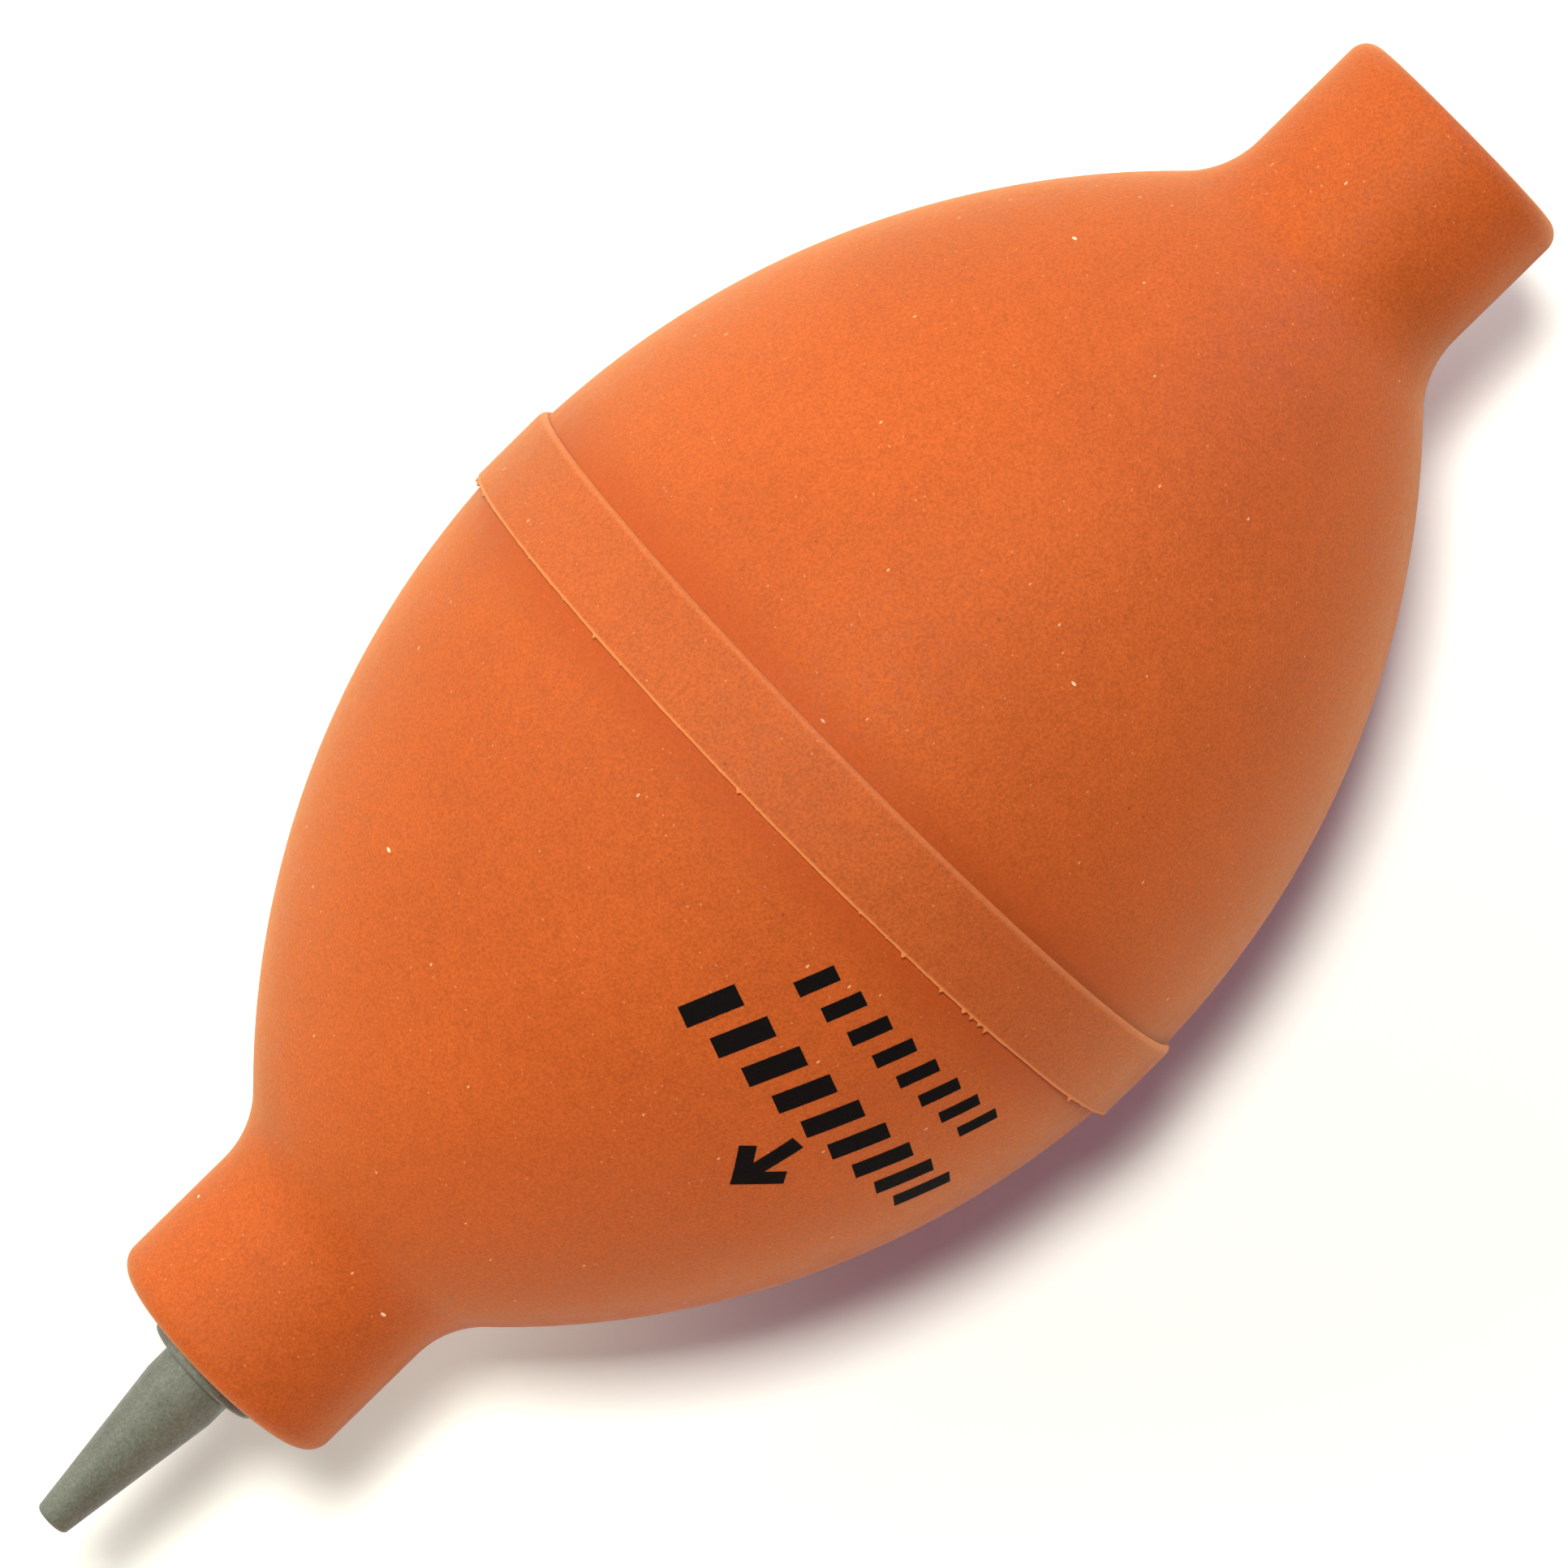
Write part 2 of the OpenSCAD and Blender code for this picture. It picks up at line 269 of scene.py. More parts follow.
class Nodes:
    """Builds one material's node tree in few words. Places are in millimetres."""

    def __init__(self, name, stored_places=True):
        self.material = bpy.data.materials.new(name)
        self.material.use_nodes = True
        self.tree = self.material.node_tree
        self.shader = self.tree.nodes["Principled BSDF"]
        if stored_places:
            source = self.tree.nodes.new("ShaderNodeAttribute")
            source.attribute_name = "rest_mm"
            self.places = source.outputs["Vector"]
        else:
            source = self.tree.nodes.new("ShaderNodeTexCoord")
            scaled = self.tree.nodes.new("ShaderNodeVectorMath")
            scaled.operation = "SCALE"
            scaled.inputs["Scale"].default_value = 1 / MM
            self.tree.links.new(source.outputs["Object"], scaled.inputs[0])
            self.places = scaled.outputs[0]

    def add(self, kind, inputs, **settings):
        node = self.tree.nodes.new(kind)
        for key, value in settings.items():
            setattr(node, key, value)
        for key, value in inputs.items():
            if isinstance(value, bpy.types.NodeSocket):
                self.tree.links.new(value, node.inputs[key])
            else:
                node.inputs[key].default_value = value
        return node

    def noise(self, size, detail=2.0, stretch=(1, 1, 1), offset=0.0, roughness=0.5):
        """Soft noise, 0 to 1, whose blotches are about size across."""
        placed = self.add("ShaderNodeMapping", {"Vector": self.places, "Location": (offset, offset, offset),
                                                "Scale": stretch})
        return self.add("ShaderNodeTexNoise", {"Vector": placed.outputs[0], "Scale": 1 / size,
                                               "Detail": detail, "Roughness": roughness}).outputs["Fac"]

    def ramp(self, value, low, high, to_low=0.0, to_high=1.0):
        """value from low to high becomes to_low to to_high, smoothly."""
        return self.add("ShaderNodeMapRange", {"Value": value, "From Min": low, "From Max": high,
                                               "To Min": to_low, "To Max": to_high},
                        interpolation_type="SMOOTHSTEP").outputs["Result"]

    def along_axis(self):
        """The place along X, in millimetres."""
        return self.add("ShaderNodeSeparateXYZ", {"Vector": self.places}).outputs["X"]

    def math(self, operation, a, b=0.0):
        return self.add("ShaderNodeMath", {0: a, 1: b}, operation=operation).outputs[0]

    def mix(self, share, a, b):
        """Colour a where share is 0 and b where it is 1."""
        node = self.add("ShaderNodeMix", {"Factor": share, "A": a, "B": b}, data_type="RGBA")
        return node.outputs["Result"]

    def specks(self, spacing, size, share, stretch=(1, 1, 1), turn=(0, 0, 0), offset=0.0):
        """1 inside sparse grains about size across, 0 elsewhere; share is how many of the cells hold one."""
        placed = self.add("ShaderNodeMapping", {"Vector": self.places, "Location": (offset, offset, offset),
                                                "Rotation": turn, "Scale": stretch})
        cells = self.add("ShaderNodeTexVoronoi", {"Vector": placed.outputs[0], "Scale": 1 / spacing})
        kept = self.add("ShaderNodeSeparateColor", {"Color": cells.outputs["Color"]}).outputs
        near = self.ramp(cells.outputs["Distance"], size / spacing * 0.4, size / spacing * 0.6, 1.0, 0.0)
        held = self.math("LESS_THAN", kept[0], share)
        return self.math("MULTIPLY", near, held)

    def bump(self, height, distance, strength=1.0, after=None):
        """A bump from height, which is distance millimetres high."""
        inputs = {"Height": height, "Distance": distance * MM, "Strength": strength}
        if after is not None:
            inputs["Normal"] = after
        return self.add("ShaderNodeBump", inputs).outputs["Normal"]

    def finish(self, colour, roughness, normal, **plain):
        for key, value in (("Base Color", colour), ("Roughness", roughness), ("Normal", normal)):
            if value is None:
                continue
            if isinstance(value, bpy.types.NodeSocket):
                self.tree.links.new(value, self.shader.inputs[key])
            else:
                self.shader.inputs[key].default_value = value
        for key, value in plain.items():
            self.shader.inputs[key.replace("_", " ").title().replace("Ior", "IOR")].default_value = value
        return self.material


DUST = (0.9, 0.64, 0.42, 1)
PIT = (0.1, 0.02, 0.006, 1)
# painted shade: the darker, deeper rubber colour laid on the bulb beside the seam band
PAINTED_BAND_SHADE = (0.33, 0.05, 0.008, 1)
# pale trimmed rubber for the band's front edge, and a painted highlight along its rear edge
PALE_TRIM_AND_PAINTED_HIGHLIGHT = (0.72, 0.26, 0.085, 1)
BAND_SHADE_REACH = 3.5    # how far the painted shade runs from the band
GRAIN = 0.2
MOTTLE = 0.035


def rubber(name, light, dark):
    """Nodes, colour, mottle and height of matt moulded rubber with grain, blotches, dust specks and pits."""
    n = Nodes(name)
    blotches = n.ramp(n.noise(14.0, detail=3), 0.35, 0.65)
    colour = n.mix(blotches, (*light, 1), (*dark, 1))
    grain = n.noise(0.17, detail=2, roughness=0.7)
    mottle = n.noise(0.9, detail=3, offset=5.0)
    shade = n.math("ADD", n.ramp(grain, 0.25, 0.75, -GRAIN, GRAIN), n.ramp(mottle, 0.3, 0.7, -MOTTLE, MOTTLE))
    brightness = n.math("ADD", shade, 1.0)
    shaded = n.add("ShaderNodeHueSaturation", {"Color": colour, "Value": brightness}).outputs[0]
    fine_dust = n.specks(0.62, 0.13, 0.3, offset=13.0)
    long_dust = n.specks(1.2, 0.15, 0.24, stretch=(0.6, 1.2, 1), turn=(0.3, 0.9, 0.4))
    coarse_dust = n.specks(3.1, 0.25, 0.22, stretch=(1.3, 0.55, 0.8), turn=(1.1, 0.2, 0.7), offset=31.0)
    dust = n.math("MAXIMUM", n.math("MULTIPLY", long_dust, 0.4), n.math("MULTIPLY", coarse_dust, 0.8))
    shaded = n.mix(n.math("MAXIMUM", n.math("MULTIPLY", fine_dust, 0.14), dust), shaded, DUST)
    pits = n.specks(1.9, 0.2, 0.22, offset=57.0)
    shaded = n.mix(n.math("MULTIPLY", pits, 0.45), shaded, PIT)
    height = n.math("ADD", n.math("MULTIPLY", n.noise(0.22, detail=2, offset=11.0), 0.5),
                    n.math("MULTIPLY", n.noise(2.6, detail=2, offset=19.0), 0.5))
    return n, shaded, mottle, height


def finish_rubber(n, colour, mottle, height):
    """The rubber's matt surface, with the sheen of its fine dust."""
    return n.finish(colour, n.ramp(mottle, 0.3, 0.7, 0.56, 0.68), n.bump(height, 0.03),
                    specular_ior_level=0.12, sheen_weight=0.21, sheen_roughness=0.5,
                    sheen_tint=(1.0, 0.62, 0.22, 1))


def bulb_rubber_material():
    """Rubber with painted shade: a little darker and deeper in colour beside the seam band."""
    n, colour, mottle, height = rubber("bulb_rubber", (0.42, 0.08, 0.0135), (0.385, 0.072, 0.0125))
    from_middle = n.math("ABSOLUTE", n.math("SUBTRACT", n.along_axis(), band_middle_x))
    beside = n.math("SUBTRACT", from_middle, band_half_width)
    # painted shade beside the band, strongest at its edges and fading out with distance from them
    band_shade = n.ramp(beside, 0.0, BAND_SHADE_REACH, 0.55, 0.0)
    colour = n.mix(band_shade, colour, PAINTED_BAND_SHADE)
    return finish_rubber(n, colour, mottle, height)


def band_rubber_material():
    """Rubber with a thin pale line where the front edge was trimmed, and a painted highlight, a soft pale
    line, along the rear edge.
    """
    n, colour, mottle, height = rubber("band_rubber", (0.41, 0.084, 0.0185), (0.38, 0.077, 0.017))
    front = n.ramp(n.along_axis(), band_front_x + 0.06, band_front_x + 0.24, 0.6, 0.0)
    # painted highlight: a soft pale line along the band's rear edge
    rear = n.ramp(n.along_axis(), band_rear_x - 0.4, band_rear_x - 0.15, 0.0, 0.2)
    colour = n.mix(n.math("MAXIMUM", front, rear), colour, PALE_TRIM_AND_PAINTED_HIGHLIGHT)
    return finish_rubber(n, colour, mottle, height)


def moulded_plastic(name, light, dark, stored_places=True):
    """Matt moulded plastic with faint flow marks and fine grain."""
    n = Nodes(name, stored_places)
    clouds = n.ramp(n.noise(1.6, detail=3, stretch=(0.4, 1, 1)), 0.3, 0.7)
    colour = n.mix(clouds, (*light, 1), (*dark, 1))
    grain = n.ramp(n.noise(0.16, detail=2, offset=3.0), 0.25, 0.75, 0.78, 1.2)
    colour = n.add("ShaderNodeHueSaturation", {"Color": colour, "Value": grain}).outputs[0]
    flecks = n.specks(0.7, 0.14, 0.25, offset=23.0)
    colour = n.mix(n.math("MULTIPLY", flecks, 0.4), colour, (dark[0] / 3, dark[1] / 3, dark[2] / 3, 1))
    roughness = n.ramp(n.noise(0.5, offset=9.0), 0.3, 0.7, 0.42, 0.56)
    normal = n.bump(n.noise(0.3, detail=2, offset=17.0), 0.012)
    return n.finish(colour, roughness, normal, specular_ior_level=0.45)


def seal_rubber_material():
    """Near-black rubber with faint clouds."""
    n = Nodes("seal_rubber")
    clouds = n.ramp(n.noise(0.4, detail=3), 0.3, 0.7)
    colour = n.mix(clouds, (0.018, 0.018, 0.019, 1), (0.034, 0.033, 0.032, 1))
    return n.finish(colour, n.ramp(clouds, 0.0, 1.0, 0.55, 0.7), n.bump(clouds, 0.01), specular_ior_level=0.4)


def spring_steel_material():
    """Bright steel wire with drawing marks along it."""
    n = Nodes("spring_steel")
    drawn = n.ramp(n.noise(0.08, detail=2, stretch=(3, 1, 1)), 0.3, 0.7)
    colour = n.mix(drawn, (0.5, 0.51, 0.53, 1), (0.62, 0.63, 0.65, 1))
    return n.finish(colour, n.ramp(drawn, 0.0, 1.0, 0.24, 0.38), n.bump(drawn, 0.004), metallic=1.0)


def ink_material():
    """Matt black ink, thin enough in places for a little of the rubber to show."""
    n = Nodes("print_ink")
    thin = n.ramp(n.noise(0.12, detail=3, roughness=0.7), 0.6, 0.72)
    colour = n.mix(n.math("MULTIPLY", thin, 0.5), (0.004, 0.0035, 0.004, 1), (0.05, 0.014, 0.007, 1))
    return n.finish(colour, n.ramp(n.noise(0.3, offset=4.0), 0.3, 0.7, 0.7, 0.8),
                    n.bump(n.noise(0.15, offset=8.0), 0.01), specular_ior_level=0.04)


GREY_LIGHT, GREY_DARK = (0.116, 0.122, 0.101), (0.09, 0.095, 0.079)
IVORY_LIGHT, IVORY_DARK = (0.6, 0.57, 0.48), (0.55, 0.52, 0.43)
bulb_rubber = bulb_rubber_material()
band_rubber = band_rubber_material()
grey_plastic = moulded_plastic("grey_plastic", GREY_LIGHT, GREY_DARK)
grey_plastic_cad = moulded_plastic("grey_plastic_cad", GREY_LIGHT, GREY_DARK, stored_places=False)
poppet_plastic = moulded_plastic("poppet_plastic", IVORY_LIGHT, IVORY_DARK)
seal_rubber = seal_rubber_material()
spring_steel = spring_steel_material()
ink = ink_material()


# ---------------------------------------------------------------- bulb shells

SHELL_STEPS = 128
BELLY_STEP = 1.0
FILLET_STEP = 0.4


def shell_sections(bore_r):
    """The closed profile of one half of the bulb, and the faces that fill its flat ends."""
    outer_belly = arc((0, BELLY_CENTRE_R), BELLY_ARC_R, 0, BELLY_ANGLE, BELLY_STEP)
    fillet_centre = (FILLET_S, FILLET_CENTRE_R)
    outer_fillet = arc(fillet_centre, NECK_FILLET_R, math.pi + BELLY_ANGLE, math.pi, FILLET_STEP, True)
    edge_s = half_length - NECK_EDGE_R
    neck = line((FILLET_S, NECK_R), (edge_s, NECK_R), 0.8)
    edge = arc((edge_s, NECK_R - NECK_EDGE_R), NECK_EDGE_R, 0, math.pi / 2, 0.1)
    face = line((half_length, NECK_R - NECK_EDGE_R), (half_length, bore_r + BORE_EDGE_R), 0.5)
    bore_edge_centre = (half_length - BORE_EDGE_R, bore_r + BORE_EDGE_R)
    bore_edge = arc(bore_edge_centre, BORE_EDGE_R, math.pi / 2, math.pi, 0.08)
    bore = line((half_length - BORE_EDGE_R, bore_r), (FILLET_S, bore_r), 0.8)
    shoulder = line((FILLET_S, bore_r), (FILLET_S, NECK_R - WALL))
    inner_fillet = arc(fillet_centre, NECK_FILLET_R + WALL, math.pi, math.pi + BELLY_ANGLE,
                       FILLET_STEP * (NECK_FILLET_R + WALL) / NECK_FILLET_R, True)
    inner_belly = arc((0, BELLY_CENTRE_R), BELLY_ARC_R - WALL, BELLY_ANGLE, 0,
                      BELLY_STEP * (BELLY_ARC_R - WALL) / BELLY_ARC_R, True)
    inner_fillet = [(s, r, -ns, -nr) for s, r, ns, nr in inner_fillet]
    middle = line((0, BULB_R - WALL), (0, BULB_R))
    sections = [outer_belly, outer_fillet, neck, edge, face, bore_edge, bore, shoulder,
                inner_fillet, inner_belly, middle]
    thin = len(outer_belly) + len(outer_fillet) - 2
    width = sum(len(section) - 1 for section in sections)
    inner_end = width - 1
    strips = [[i, i + 1, inner_end - i - 1, inner_end - i] for i in range(thin)]
    neck_cap = list(range(thin, inner_end - thin + 1))
    return sections, strips + [neck_cap]


def bend_with(piece):
    """Bakes piece's placement into its mesh; it does not bend it."""
    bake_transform(piece)


OVERLAP = math.radians(0.15)   # how far each half turns into the other, so that no gap can show
HALVES = {"upper": ((-OVERLAP, math.pi + OVERLAP), "top_wall", 1),
          "lower": ((math.pi - OVERLAP, 2 * math.pi + OVERLAP), "bottom_wall", -1)}
shells = {}
for end, bore_r, toward in (("front", NOZZLE_BORE_R, -1), ("rear", VALVE_BORE_R, 1)):
    sections, caps = shell_sections(bore_r)
    for half, (turn, body, upward) in HALVES.items():
        shell = lathe(f"{end}_shell_{half}", sections, joint_x, toward, turn, SHELL_STEPS, caps)
        shell.data.materials.append(bulb_rubber)
        bend_with(shell)
        shells[end, half] = shell
for (end, half), shell in shells.items():
    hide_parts(f"{end}_half_shell", "press_wall_top" if half == "upper" else "press_wall_bottom")


# ---------------------------------------------------------------- seam band

BAND_STEPS = 760
band_front_s = band_front_x - joint_x
band_rear_s = band_rear_x - joint_x
SEAT_DEPTH = 0.12   # how far the band's underside lies inside the bulb
# how much of each nudge the points of the front lip and the rear edge take, by their place in the profile
FRONT_LIP = {4: 1.0, 5: 0.9, 6: 0.5, 7: 0.1}
REAR_EDGE = {13: 0.5, 14: 1.0, 15: 1.0}


def band_profile():
    """The band's cross-section: a thin front lip with a fine groove under it, and a soft worn rear edge."""
    front, rear, top = band_front_s, band_rear_s, band_r
    front_r = bulb_surface(front)[0]
    rear_r = bulb_surface(rear)[0]
    groove = [(front + 0.3, front_r - SEAT_DEPTH), (front + 0.22, front_r + 0.02),
              (front + 0.12, front_r + 0.16), (front + 0.04, front_r + 0.24)]
    lip = [(front, top - 0.14), (front + 0.02, top - 0.06), (front + 0.09, top - 0.01), (front + 0.2, top)]
    outside = [(front + 0.9, top), (front + 2.0, top), (rear - 1.6, top), (rear - 0.9, top),
               (rear - 0.45, top - 0.01)]
    rear_edge = [(rear - 0.25, top - 0.05), (rear - 0.1, top - 0.14), (rear - 0.02, top - 0.26),
                 (rear, rear_r + 0.06)]
    underside = [(rear - 0.1, rear_r - SEAT_DEPTH)]
    underside += [(s, bulb_surface(s)[0] - SEAT_DEPTH) for s in (rear - 1.5, front + 1.8)]
    return groove + lip + outside + rear_edge + underside


def band_nudge(angle, points):
    """Moves the band's edges in and out a little, with a few torn burrs, as trimmed rubber has."""
    round_it = Vector((math.cos(angle), math.sin(angle), 0.0)) * band_r
    wave = noise.noise(round_it * 0.35 + Vector((SEED, 0, 0)))
    ripple = noise.noise(round_it * 2.2 + Vector((0, SEED, 0)))
    burr = max(0.0, noise.noise(round_it * 3.6 + Vector((0, 0, SEED))) - 0.38) * 3.2
    moved = points.copy()
    out = 0.03 * wave + 0.02 * ripple + 0.28 * burr
    for place, share in FRONT_LIP.items():
        moved[place, 0] -= out * share
        moved[place, 1] += (0.02 * ripple + 0.05 * burr) * share
    rear = 0.03 * noise.noise(round_it * 0.8 + Vector((9, 0, SEED)))
    rear_burr = max(0.0, noise.noise(round_it * 2.9 + Vector((0, 7, SEED))) - 0.5) * 1.2
    for place, share in REAR_EDGE.items():
        moved[place, 0] += (rear + 0.1 * rear_burr) * share
    return moved


band_outline = band_profile()
band_sections = [[(*here, 0.0, 0.0), (*there, 0.0, 0.0)]
                 for here, there in zip(band_outline, band_outline[1:] + band_outline[:1])]
band_end = list(range(len(band_outline)))
for half, (turn, body, upward) in HALVES.items():
    band = lathe(f"seam_band_{half}", band_sections, joint_x, 1, turn, BAND_STEPS, [band_end], band_nudge)
    band.data.materials.append(band_rubber)
    bend_with(band)
    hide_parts("seam_band")


# ---------------------------------------------------------------- nozzle

SMALL_STEPS = 96   # steps of the turn for the nozzle and the valve's pieces
FLANGE_R = 3.75
FLANGE_HEIGHT = 1.1
NOZZLE_ROOT_R = 2.4
NOZZLE_ROOT_LENGTH = 1.95
NOZZLE_TIP_R = 1.075
JET_R = 0.55
JET_LENGTH = 4.0
STEM_R = 2.6
STEM_BORE_R = 1.4

reach = front_end_x - nozzle_tip_x
stem_length = stem_end_x - front_end_x
nozzle_corners = [(-stem_length, STEM_BORE_R), (-stem_length, STEM_R), (0, STEM_R), (0, FLANGE_R),
                  (FLANGE_HEIGHT, FLANGE_R), (FLANGE_HEIGHT, NOZZLE_ROOT_R),
                  (FLANGE_HEIGHT + NOZZLE_ROOT_LENGTH, NOZZLE_ROOT_R), (reach, NOZZLE_TIP_R),
                  (reach, JET_R), (reach - JET_LENGTH, JET_R)]
nozzle_radii = [0.1, 0.3, 0, 0.1, 0.2, 0.25, 1.5, 0.3, 0.15, 0]
nozzle = lathe("nozzle", rounded(nozzle_corners, nozzle_radii), front_end_x, -1, steps=SMALL_STEPS)
nozzle.data.materials.append(grey_plastic)
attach(nozzle, "root")
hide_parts("blower_nozzle")


# ---------------------------------------------------------------- inlet valve

LIP_R = 5.2
LIP_LOW, LIP_HIGH = FILLET_S - half_length - 1.25, FILLET_S - half_length - 0.05
CHAMBER_R = 3.6
INLET_R = 2.0
INLET_WALL = 1.2
POPPET_R = 2.9
POPPET_STEM_R = 0.7
POPPET_DISC = 0.8
POLE_R = 0.05   # the poppet's ends close with a tiny disc, not in a point


def from_rear_face(x):
    """s of a place on the valve, counted from the rear neck's face."""
    return x - rear_end_x


def valve_piece(name, sections, body, node, material, solid=False):
    """A turned piece of the valve that rides on body and stands for the CAD node."""
    piece = lathe(name, sections, rear_end_x, 1, steps=SMALL_STEPS, solid=solid)
    piece.data.materials.append(material)
    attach(piece, body)
    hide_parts(node)


inner, face = from_rear_face(housing_end_x), from_rear_face(housing_face_x)
housing_corners = [(inner, CHAMBER_R), (inner, VALVE_BORE_R), (LIP_LOW, VALVE_BORE_R), (LIP_LOW, LIP_R),
                   (LIP_HIGH, LIP_R), (LIP_HIGH, VALVE_BORE_R), (face, VALVE_BORE_R), (face, INLET_R),
                   (face - INLET_WALL, INLET_R), (face - INLET_WALL, CHAMBER_R)]
housing_radii = [0.1, 0.1, 0, 0.15, 0.15, 0, 0.25, 0.3, 0, 0]
valve_piece("inlet_valve_housing", rounded(housing_corners, housing_radii), "root", "valve_housing",
            grey_plastic)

low, high = (from_rear_face(x) for x in seat_ring_x)
seat_corners = [(low, INLET_R), (low, CHAMBER_R), (high, CHAMBER_R), (high, INLET_R)]
seat_radii = [0.15, 0.1, 0.1, 0.15]
valve_piece("inlet_valve_seat_ring", rounded(seat_corners, seat_radii), "root", "valve_seat_ring",
            seal_rubber)

low, high = (from_rear_face(x) for x in (poppet_end_x, poppet_face_x))
poppet_corners = [(low, 0.0), (low, POPPET_STEM_R), (high - POPPET_DISC, POPPET_STEM_R),
                  (high - POPPET_DISC, POPPET_R), (high, POPPET_R), (high, 0.0)]
poppet_radii = [0, 0.2, 0.15, 0.2, 0.2, 0]
poppet_outline = rounded(poppet_corners, poppet_radii)[:-1]   # without the stretch along the axis
poppet_outline[0][0] = (low, POLE_R, -1.0, 0.0)
poppet_outline[-1][-1] = (high, POLE_R, 1.0, 0.0)
valve_piece("inlet_valve_poppet", poppet_outline, "poppet", "valve_poppet", poppet_plastic,
            solid=True)

# the retainer keeps its CAD shape
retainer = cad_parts["valve_retainer"]
retainer.data.materials.clear()
retainer.data.materials.append(grey_plastic_cad)

SPRING_TURNS = 7
SPRING_R = 1.3
WIRE_R = 0.175
SPRING_STEPS = 30
WIRE_SIDES = 12
CLOSED_TURNS = 0.75
CLOSED_PITCH = 0.385


def spring_mesh(low, high):
    """A closed-ended coil of round wire between low and high along X."""
    rise = high - low - 2 * WIRE_R
    open_rise = rise - 2 * CLOSED_TURNS * CLOSED_PITCH

    def along(t):
        if t < CLOSED_TURNS:
            return CLOSED_PITCH * t
        if t > SPRING_TURNS - CLOSED_TURNS:
            return rise - CLOSED_PITCH * (SPRING_TURNS - t)
        share = (t - CLOSED_TURNS) / (SPRING_TURNS - 2 * CLOSED_TURNS)
        return CLOSED_TURNS * CLOSED_PITCH + open_rise * share

    count = SPRING_TURNS * SPRING_STEPS
    verts = []
    for i in range(count + 1):
        t = i / SPRING_STEPS
        a = 2 * math.pi * t
        for k in range(WIRE_SIDES):
            b = 2 * math.pi * k / WIRE_SIDES
            r = SPRING_R + WIRE_R * math.cos(b)
            verts.append(((low + WIRE_R + along(t) + WIRE_R * math.sin(b)) * MM, r * math.cos(a) * MM,
                          (axis_z + r * math.sin(a)) * MM))
    faces = [list(range(WIRE_SIDES)), [count * WIRE_SIDES + k for k in reversed(range(WIRE_SIDES))]]
    for i in range(count):
        for k in range(WIRE_SIDES):
            beside = (k + 1) % WIRE_SIDES
            faces.append([i * WIRE_SIDES + beside, i * WIRE_SIDES + k, (i + 1) * WIRE_SIDES + k,
                          (i + 1) * WIRE_SIDES + beside])
    mesh = bpy.data.meshes.new("inlet_valve_spring")
    mesh.from_pydata(verts, [], faces)
    mesh.shade_smooth()
    return mesh


spring = add_piece("inlet_valve_spring", spring_mesh(*spring_x))
spring.data.materials.append(spring_steel)
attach(spring, "root")
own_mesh(spring)
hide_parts("valve_spring")


# ---------------------------------------------------------------- printed marks

INK_HEIGHT, INK_DEPTH = 0.02, 0.05   # above and below the rubber's surface
INK_STEP = 0.14
INK_WANDER, INK_WANDER_RATE = 0.02, 4   # how far and how quickly the edges wander
SHARPEST_MITRE = 0.3   # keeps the mitre of a sharp corner short
TOP = math.pi / 2


def on_bulb(s, around, height):
    """The point that lies height above the bulb, at s and at the angle around from the top towards -Y."""
    radius, normal = bulb_surface(s)
    a = TOP + around
    out = radius + height * normal[1]
    x, y, z = joint_x + s + height * normal[0], out * math.cos(a), axis_z + out * math.sin(a)
    return x * MM, y * MM, z * MM


def mitre(before, after, width):
    """From a corner to the ribbon's edge, where before and after point sideways from its two legs."""
    across = (before + after).normalized()
    return across * (width / 2 / max(SHARPEST_MITRE, across.dot(after.normalized())))


class Print:
    """Ink marks on the bulb. A point is (along the axis, down the side) from the middle of the mark."""

    def __init__(self, middle_s, middle_angle):
        self.middle_s, self.middle_angle = middle_s, middle_angle
        self.ref_r = bulb_surface(middle_s)[0]
        self.verts, self.faces = [], []

    def place(self, point, height):
        return on_bulb(self.middle_s + point[0], self.middle_angle + point[1] / self.ref_r, height)

    def add_pair(self, left, right):
        """Both edges of the ink across one place, each with a point on top and one inside the rubber."""
        for point in (left, right):
            rough = INK_WANDER * noise.noise(Vector((*(c * INK_WANDER_RATE for c in point), SEED)))
            moved = (point[0] + rough, point[1] + rough)
            self.verts.extend([self.place(moved, INK_HEIGHT), self.place(moved, -INK_DEPTH)])

    def stroke(self, path, width):
        """A ribbon of ink along path, a list of corners, with square ends and mitred corners."""
        first = len(self.verts)
        corners = [Vector(p) for p in path]
        legs = [(b - a) for a, b in zip(corners, corners[1:])]
        sides = [Vector((-leg.y, leg.x)).normalized() * width / 2 for leg in legs]
        rows = 0
        for i, corner in enumerate(corners):
            before, after = sides[max(i - 1, 0)], sides[min(i, len(sides) - 1)]
            edge = mitre(before, after, width)
            self.add_pair(corner + edge, corner - edge)
            rows += 1
            if i < len(legs):
                next_edge = mitre(after, sides[min(i + 1, len(sides) - 1)], width)
                steps = max(1, round(legs[i].length / INK_STEP))
                for k in range(1, steps):
                    share = k / steps
                    middle = corner + legs[i] * share
                    across = edge.lerp(next_edge, share)
                    self.add_pair(middle + across, middle - across)
                    rows += 1
        for k in range(rows - 1):
            a = first + 4 * k
            b = a + 4
            self.faces.extend([[a, b, b + 2, a + 2], [a + 1, a + 3, b + 3, b + 1], [a, a + 1, b + 1, b],
                               [a + 2, b + 2, b + 3, a + 3]])
        end = first + 4 * (rows - 1)
        self.faces.extend([[first, first + 2, first + 3, first + 1], [end, end + 1, end + 3, end + 2]])

    def finish(self, name):
        mesh = bpy.data.meshes.new(name)
        mesh.from_pydata(self.verts, [], self.faces)
        shape = bmesh.new()
        shape.from_mesh(mesh)
        bmesh.ops.recalc_face_normals(shape, faces=shape.faces)
        shape.to_mesh(mesh)
        shape.free()
        piece = add_piece(name, mesh)
        piece.data.materials.append(ink)
        bend_with(piece)


PRINT_ANGLE = math.radians(37)   # from the top towards -Y
BAR_SLANT = 0.35


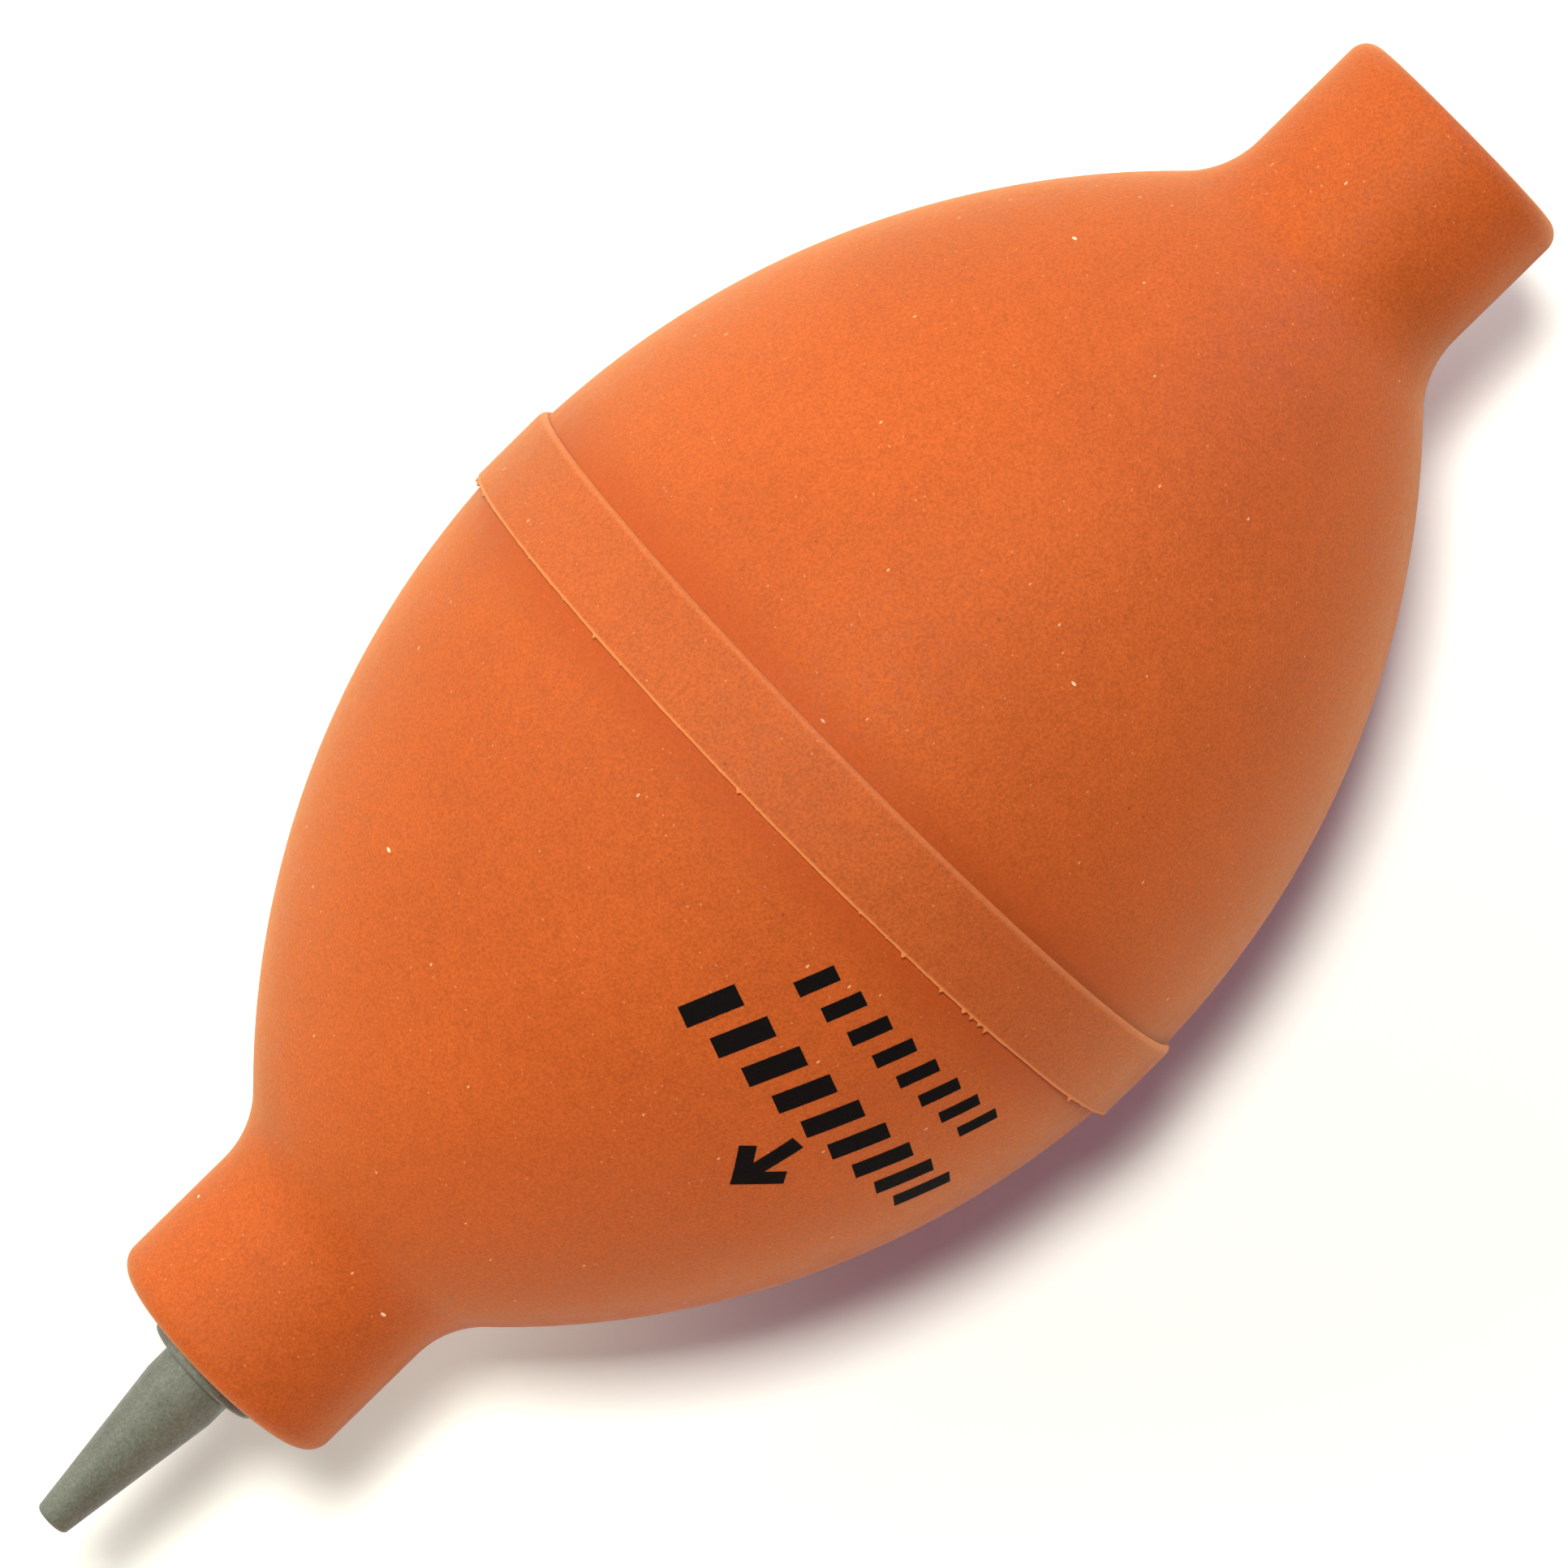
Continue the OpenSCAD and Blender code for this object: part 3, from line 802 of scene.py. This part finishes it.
def printed_bar_row(name, middle_s, count, pitch, height, width):
    """A row of plain slanted bars around the bulb."""
    row = Print(middle_s, PRINT_ANGLE)
    for i in range(count):
        at = (i - (count - 1) / 2) * pitch
        lean = height * BAR_SLANT / 2
        row.stroke([(-height / 2, at - lean), (height / 2, at + lean)], width)
    row.finish(name)


printed_bar_row("printed_bar_row", -12.6, count=9, pitch=2.5, height=3.1, width=1.3)
printed_bar_row("printed_small_bar_row", -7.6, count=8, pitch=2.15, height=2.2, width=0.95)

ARROW_TAIL, ARROW_NECK = 2.0, -1.4
ARROW_HEAD = 1.7
ARROW_WIDTH = 0.95
arrow = Print(-16.9, PRINT_ANGLE)
arrow.stroke([(ARROW_TAIL, 0.0), (ARROW_NECK, 0.0)], ARROW_WIDTH)
arrow.stroke([(0.0, -ARROW_HEAD), (-ARROW_HEAD, 0.0), (0.0, ARROW_HEAD)], ARROW_WIDTH)
arrow.finish("printed_flow_arrow")


# ---------------------------------------------------------------- floor, light, camera

FLOOR_HALF = 3.0   # metres
floor_mesh = bpy.data.meshes.new("floor")
floor_mesh.from_pydata([(-FLOOR_HALF, -FLOOR_HALF, 0), (FLOOR_HALF, -FLOOR_HALF, 0),
                        (FLOOR_HALF, FLOOR_HALF, 0), (-FLOOR_HALF, FLOOR_HALF, 0)], [], [(0, 1, 2, 3)])
floor = bpy.data.objects.new("floor", floor_mesh)
bpy.context.scene.collection.objects.link(floor)
floor_nodes = Nodes("floor_paper", stored_places=False)
floor_mesh.materials.append(floor_nodes.finish((0.93, 0.95, 0.98, 1), 0.8, None, specular_ior_level=0.1))

LOW_SKY, HIGH_SKY = 0.1, 0.2   # heights on the unit sphere
LOW_SKY_STRENGTH, HIGH_SKY_STRENGTH = 0.85, 0.025


def studio_world():
    """A backdrop that is pale near the horizon and dim above it."""
    world = bpy.data.worlds.new("studio")
    bpy.context.scene.world = world
    world.use_nodes = True
    sky = world.node_tree
    up = sky.nodes.new("ShaderNodeSeparateXYZ")
    sky.links.new(sky.nodes.new("ShaderNodeTexCoord").outputs["Generated"], up.inputs[0])
    dimming = sky.nodes.new("ShaderNodeMapRange")
    dimming.interpolation_type = "SMOOTHSTEP"
    for socket, value in (("From Min", LOW_SKY), ("From Max", HIGH_SKY),
                          ("To Min", LOW_SKY_STRENGTH), ("To Max", HIGH_SKY_STRENGTH)):
        dimming.inputs[socket].default_value = value
    sky.links.new(up.outputs["Z"], dimming.inputs["Value"])
    sky.links.new(dimming.outputs["Result"], sky.nodes["Background"].inputs["Strength"])
    sky.nodes["Background"].inputs["Color"].default_value = (0.97, 0.98, 1.0, 1)


studio_world()

LAMP_DISTANCE = 0.8   # metres
WARM = (1.0, 0.99, 0.85)
COOL = (0.6, 0.56, 1.0)
RED = (1.0, 0.48, 0.3)


def area_light(name, azimuth, elevation, size, power, colour):
    """A square lamp that shines on the bulb. Azimuth is in degrees from +X towards +Y."""
    a, e = math.radians(azimuth), math.radians(elevation)
    toward_lamp = Vector((math.cos(a) * math.cos(e), math.sin(a) * math.cos(e), math.sin(e)))
    lamp = bpy.data.lights.new(name, "AREA")
    lamp.size = size
    lamp.energy = power
    lamp.color = colour
    holder = bpy.data.objects.new(name, lamp)
    holder.location = Vector((joint_x * MM, 0, axis_z * MM)) + toward_lamp * LAMP_DISTANCE
    holder.rotation_euler = (-toward_lamp).to_track_quat("-Z", "Y").to_euler()
    bpy.context.scene.collection.objects.link(holder)


area_light("key_high", 46, 77, 0.12, 7.0, WARM)
area_light("key_side", 105, 35, 0.45, 4.6, WARM)
area_light("key_low", 75, 12, 0.3, 1.25, WARM)
area_light("rear_side", 0, 7, 0.18, 3.3, COOL)
area_light("front_fill", 218, 5, 0.14, 2.2, RED)

CAMERA_PLACE = (33.15, 4.03, 450.0)   # from the bulb's middle, on its axis
CAMERA_TURN = (-3.549, 3.009, -44.55)   # degrees about X, Y and Z
CAMERA_LENS = 185.29
SENSOR_WIDTH = 36.0
camera_data = bpy.data.cameras.new("camera")
camera_data.lens = CAMERA_LENS
camera_data.sensor_width = SENSOR_WIDTH
camera = bpy.data.objects.new("camera", camera_data)
camera.location = Vector((joint_x + CAMERA_PLACE[0], CAMERA_PLACE[1], axis_z + CAMERA_PLACE[2])) * MM
camera.rotation_euler = Euler([math.radians(a) for a in CAMERA_TURN], "XYZ")
bpy.context.scene.collection.objects.link(camera)
bpy.context.scene.camera = camera
bpy.context.scene.view_settings.view_transform = "Standard"
